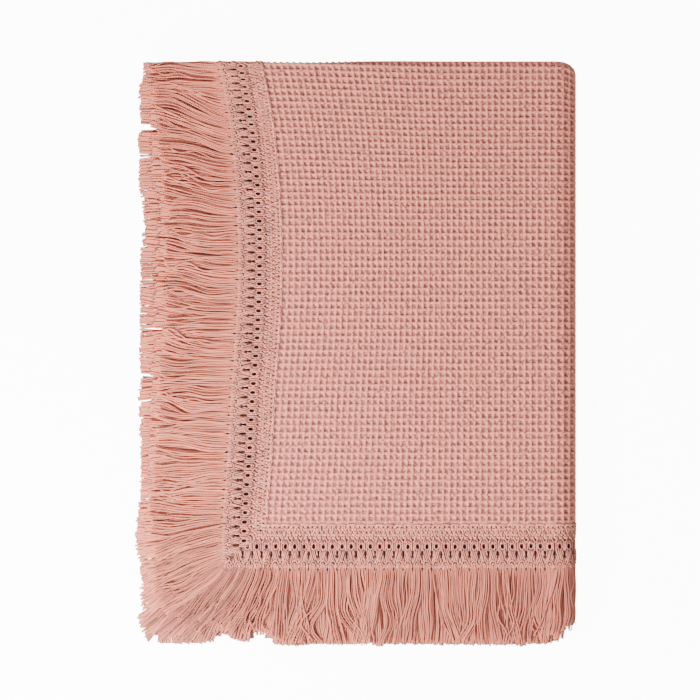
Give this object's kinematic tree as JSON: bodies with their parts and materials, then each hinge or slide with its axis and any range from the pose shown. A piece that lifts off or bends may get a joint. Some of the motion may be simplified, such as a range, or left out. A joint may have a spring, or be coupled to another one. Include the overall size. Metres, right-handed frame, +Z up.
{
  "type": "folded waffle weave cotton blanket",
  "caption": "Dusty pink waffle weave cotton blanket with an openwork lace border and a long fringe on every side, folded flat with its trimmed corner in front.",
  "frame": {"origin": "centre of the folded blanket's footprint, on the surface it lies on", "axes": "+X points to the thick fold on the right, +Y up the front face to the folded edge, away from the lower fringe, and +Z up off the surface"},
  "size_m": [0.3757, 0.5009, 0.029],
  "materials": {
    "cotton_waffle": "matt waffle weave cotton, dusty pink",
    "cotton_lace": "matt crocheted cotton lace, dusty pink",
    "cotton_fringe": "matt twisted cotton yarn, dusty pink"
  },
  "bodies": {
    "root": {"waffle_cloth": "cotton_waffle", "lace_band_left": "cotton_lace", "lace_band_right": "cotton_lace", "lace_band_lower": "cotton_lace", "lace_band_upper": "cotton_lace", "fringe_left": "cotton_fringe", "fringe_right": "cotton_fringe", "fringe_lower": "cotton_fringe", "fringe_upper": "cotton_fringe"}
  },
  "joints": []
}
